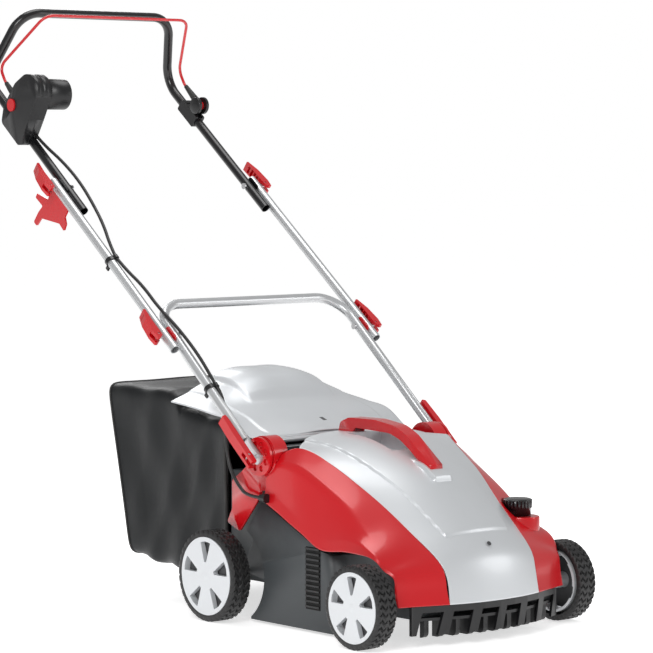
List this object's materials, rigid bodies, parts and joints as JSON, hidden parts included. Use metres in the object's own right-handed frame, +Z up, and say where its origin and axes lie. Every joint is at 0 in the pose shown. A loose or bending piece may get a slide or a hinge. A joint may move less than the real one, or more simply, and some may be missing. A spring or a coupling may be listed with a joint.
{
  "type": "lawn dethatcher",
  "caption": "Walk-behind electric lawn dethatcher with silver hood, red side shells, folding tubular handle with bail bar, rear bag and spoked wheels.",
  "frame": {"origin": "on the ground, under the middle of the bounding box", "axes": "+Z up, front of the machine towards -Y, handle and bag towards +Y, +X across; left in names is -X"},
  "size_m": [0.66, 1.4986, 1.366],
  "materials": {
    "black_moulding": "satin grained",
    "silver_paint": "metallic paint",
    "red_paint": "gloss paint",
    "black_gloss": "gloss",
    "dark_grey": "matte",
    "steel": "zinc plated",
    "spring_steel": "spring steel",
    "rubber": "matte",
    "bag_fabric": "woven cloth",
    "black_powder": "powder coat",
    "red_gloss": "gloss",
    "silver_tube": "metallic paint",
    "tyre": "matte",
    "wheel_silver": "satin silver",
    "cable": "smooth"
  },
  "bodies": {
    "deck": {"deck_housing": "black_moulding", "front_comb": "black_moulding", "side_louvres": "black_moulding", "hood_cover": "silver_paint", "side_shell_left": "red_paint", "side_shell_right": "red_paint", "carry_handle": "red_gloss", "flap_hinge": "dark_grey", "rear_axle": "steel", "motor": "dark_grey", "roller_bearings": "steel", "drive_belt": "rubber", "knuckle_brackets": "red_gloss", "cable_gland": "black_moulding"},
    "flap": {"rear_flap": "silver_paint"},
    "bag": {"collection_bag": "bag_fabric", "bag_frame": "black_powder"},
    "crank": {"front_crank": "steel"},
    "knob": {"height_knob": "black_gloss", "cam_spindle": "dark_grey"},
    "rotor": {"motor_rotor": "steel"},
    "roller": {"tine_roller": "steel", "tines": "spring_steel"},
    "lower": {"lower_handle": "silver_tube", "knuckle_discs": "red_gloss", "lower_bolts": "steel", "cable_clip_lower": "black_gloss", "cable_tail": "cable"},
    "middle": {"middle_tubes": "silver_tube", "middle_bolts": "steel", "middle_saddles": "red_gloss", "upper_saddles": "black_gloss", "cable_hook": "red_gloss", "cable_clip_middle": "black_gloss", "cable_middle": "cable"},
    "upper": {"upper_loop": "black_powder", "switch_box_outer": "black_moulding", "switch_box_inner": "black_moulding", "plug_shroud": "black_moulding", "plug_pins": "steel", "bail_bracket": "black_moulding", "bail_pin": "steel", "cable_upper": "cable"},
    "bail": {"bail_bar": "red_gloss", "bail_boots": "rubber"},
    "button": {"start_button": "red_gloss"},
    "front_wheel_left": {"front_tyre_left": "tyre", "front_rim_left": "wheel_silver"},
    "front_wheel_right": {"front_tyre_right": "tyre", "front_rim_right": "wheel_silver"},
    "rear_wheel_left": {"rear_tyre_left": "tyre", "rear_rim_left": "wheel_silver"},
    "rear_wheel_right": {"rear_tyre_right": "tyre", "rear_rim_right": "wheel_silver"},
    "knuckle_lever_left": {"knuckle_lever_left": "red_gloss"},
    "middle_lever_left": {"middle_lever_left": "red_gloss"},
    "upper_lever_left": {"upper_lever_left": "red_gloss"},
    "knuckle_lever_right": {"knuckle_lever_right": "red_gloss"},
    "middle_lever_right": {"middle_lever_right": "red_gloss"},
    "upper_lever_right": {"upper_lever_right": "red_gloss"}
  },
  "joints": [
    {"name": "height_adjust", "type": "hinge", "parent": "deck", "child": "crank", "pos_m": [0, -0.565, 0.108], "axis": [1, 0, 0], "range_deg": [-8, 8]},
    {"name": "knob_turn", "type": "hinge", "parent": "deck", "child": "knob", "pos_m": [0.199, -0.593, 0.233], "axis": [0, 0, 1], "range_deg": [-90, 90]},
    {"name": "roller_spin", "type": "hinge", "parent": "deck", "child": "roller", "pos_m": [0, -0.44, 0.088], "axis": [1, 0, 0], "continuous": true},
    {"name": "motor_spin", "type": "hinge", "parent": "deck", "child": "rotor", "pos_m": [0.15, -0.335, 0.287], "axis": [1, 0, 0], "continuous": true},
    {"name": "flap_hinge", "type": "hinge", "parent": "deck", "child": "flap", "pos_m": [0, -0.236, 0.394], "axis": [1, 0, 0], "range_deg": [0, 70]},
    {"name": "bag_slide", "type": "slide", "parent": "deck", "child": "bag", "axis": [0, 1, 0], "range_m": [0, 0.3]},
    {"name": "handle_fold", "type": "hinge", "parent": "deck", "child": "lower", "pos_m": [0, -0.271, 0.367], "axis": [1, 0, 0], "range_deg": [-5, 50], "deforming": ["cable_tail"]},
    {"name": "mid_fold", "type": "hinge", "parent": "lower", "child": "middle", "pos_m": [0, 0.01396, 0.61384], "axis": [1, 0, 0], "range_deg": [-5, 90], "deforming": ["cable_middle"]},
    {"name": "upper_fold", "type": "hinge", "parent": "middle", "child": "upper", "pos_m": [0, 0.42305, 0.93808], "axis": [1, 0, 0], "range_deg": [0, 90], "deforming": ["cable_upper"]},
    {"name": "bail_pull", "type": "hinge", "parent": "upper", "child": "bail", "pos_m": [0, 0.6162, 1.13711], "axis": [-1, 0, 0], "range_deg": [0, 16], "stiffness_Nm_per_rad": 3, "springref_deg": -28.65},
    {"name": "button_press", "type": "slide", "parent": "upper", "child": "button", "axis": [1, 0, 0], "range_m": [0, 0.003], "stiffness_N_per_m": 600, "springref_m": -0.004},
    {"name": "front_wheel_left_spin", "type": "hinge", "parent": "crank", "child": "front_wheel_left", "pos_m": [-0.29, -0.635, 0.0875], "axis": [1, 0, 0], "continuous": true},
    {"name": "rear_wheel_left_spin", "type": "hinge", "parent": "deck", "child": "rear_wheel_left", "pos_m": [-0.29, -0.148, 0.1], "axis": [1, 0, 0], "continuous": true},
    {"name": "knuckle_lever_left_swing", "type": "hinge", "parent": "lower", "child": "knuckle_lever_left", "pos_m": [-0.292, -0.271, 0.367], "axis": [0, -0.6547, 0.7559], "range_deg": [0, 55]},
    {"name": "middle_lever_left_swing", "type": "hinge", "parent": "middle", "child": "middle_lever_left", "pos_m": [-0.317, 0.01396, 0.61384], "axis": [0, -0.6211, 0.7837], "range_deg": [0, 65]},
    {"name": "upper_lever_left_swing", "type": "hinge", "parent": "middle", "child": "upper_lever_left", "pos_m": [-0.317, 0.42305, 0.93808], "axis": [0, -0.6211, 0.7837], "range_deg": [0, 65]},
    {"name": "front_wheel_right_spin", "type": "hinge", "parent": "crank", "child": "front_wheel_right", "pos_m": [0.29, -0.635, 0.0875], "axis": [1, 0, 0], "continuous": true},
    {"name": "rear_wheel_right_spin", "type": "hinge", "parent": "deck", "child": "rear_wheel_right", "pos_m": [0.29, -0.148, 0.1], "axis": [1, 0, 0], "continuous": true},
    {"name": "knuckle_lever_right_swing", "type": "hinge", "parent": "lower", "child": "knuckle_lever_right", "pos_m": [0.292, -0.271, 0.367], "axis": [0, 0.6547, -0.7559], "range_deg": [0, 55]},
    {"name": "middle_lever_right_swing", "type": "hinge", "parent": "middle", "child": "middle_lever_right", "pos_m": [0.317, 0.01396, 0.61384], "axis": [0, 0.6211, -0.7837], "range_deg": [0, 65]},
    {"name": "upper_lever_right_swing", "type": "hinge", "parent": "middle", "child": "upper_lever_right", "pos_m": [0.317, 0.42305, 0.93808], "axis": [0, 0.6211, -0.7837], "range_deg": [0, 65]}
  ],
  "couplings": [
    {"joint": "knob_turn", "follows": "height_adjust", "ratio": 11.25},
    {"joint": "motor_spin", "follows": "roller_spin", "ratio": 1.7647}
  ]
}
